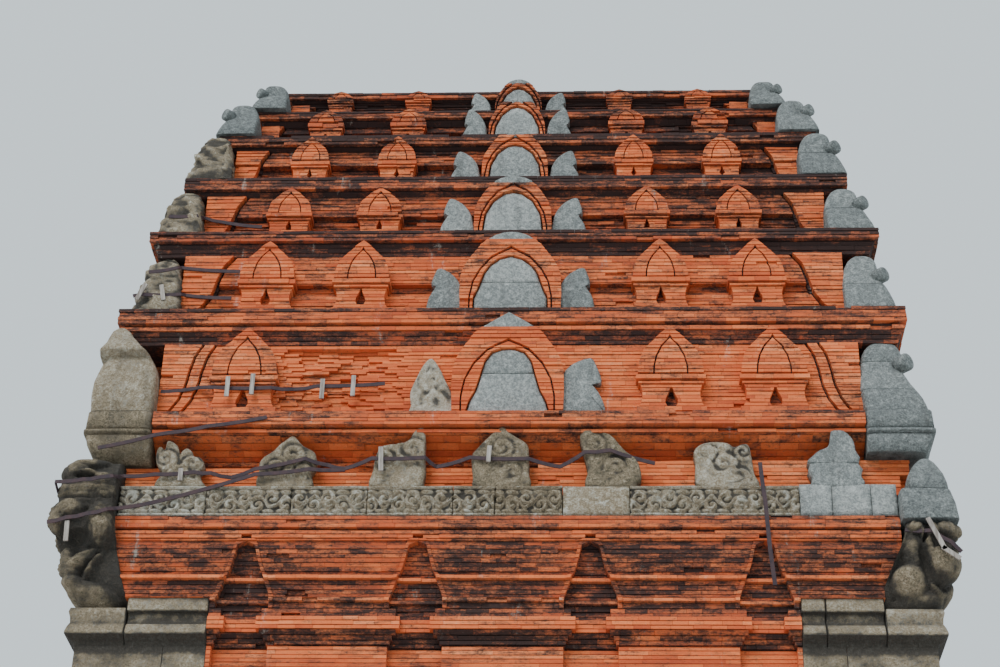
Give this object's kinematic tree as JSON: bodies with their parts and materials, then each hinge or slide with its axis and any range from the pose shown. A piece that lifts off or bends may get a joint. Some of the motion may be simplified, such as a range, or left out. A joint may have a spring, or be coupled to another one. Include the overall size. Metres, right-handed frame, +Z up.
{
  "type": "brick temple tower",
  "caption": "Square brick temple tower with a hollow cella, moulded cornice, carved stone frieze, corner guardians and stepped roof storeys with niches and stone-filled gables.",
  "frame": {"origin": "middle of the foot, on the ground", "axes": "+Z up; -Y towards the front with the doorway, the face in the picture; +X to the right seen from the front"},
  "size_m": [10, 10, 20],
  "materials": {
    "brick": "weathered orange-red brick",
    "stained_brick": "brick darkened by lichen and soot",
    "old_stone": "weathered carved stone",
    "new_stone": "smooth grey repair stone"
  },
  "bodies": {
    "root": {"stone_plinth": "old_stone", "front_wall_left": "brick", "front_wall_right": "brick", "front_wall_over_door": "brick", "back_wall": "brick", "left_wall": "brick", "right_wall": "brick", "doorway_gable": "brick", "false_door_right": "brick", "false_door_back": "brick", "false_door_left": "brick", "attic_ledge": "brick", "roof_storey_1": "brick", "roof_storey_2": "brick", "roof_storey_3": "brick", "roof_storey_4": "brick", "roof_storey_5": "brick", "roof_storey_6": "brick", "door_jamb_left": "old_stone", "door_jamb_right": "old_stone", "door_lintel": "old_stone", "main_cornice": "stained_brick", "roof_top": "stained_brick", "stone_frieze_front": "old_stone", "stone_frieze_right": "old_stone", "stone_frieze_back": "old_stone", "stone_frieze_left": "old_stone", "guardian_front_right": "old_stone", "guardian_back_right": "old_stone", "guardian_back_left": "old_stone", "guardian_front_left": "old_stone", "corner_stone_1_front_right": "new_stone", "corner_stone_1_back_right": "new_stone", "corner_stone_1_back_left": "new_stone", "corner_stone_1_front_left": "new_stone", "corner_stone_2_front_right": "new_stone", "corner_stone_2_back_right": "new_stone", "corner_stone_2_back_left": "new_stone", "corner_stone_2_front_left": "new_stone", "corner_stone_3_front_right": "new_stone", "corner_stone_3_back_right": "new_stone", "corner_stone_3_back_left": "new_stone", "corner_stone_3_front_left": "new_stone"}
  },
  "joints": []
}
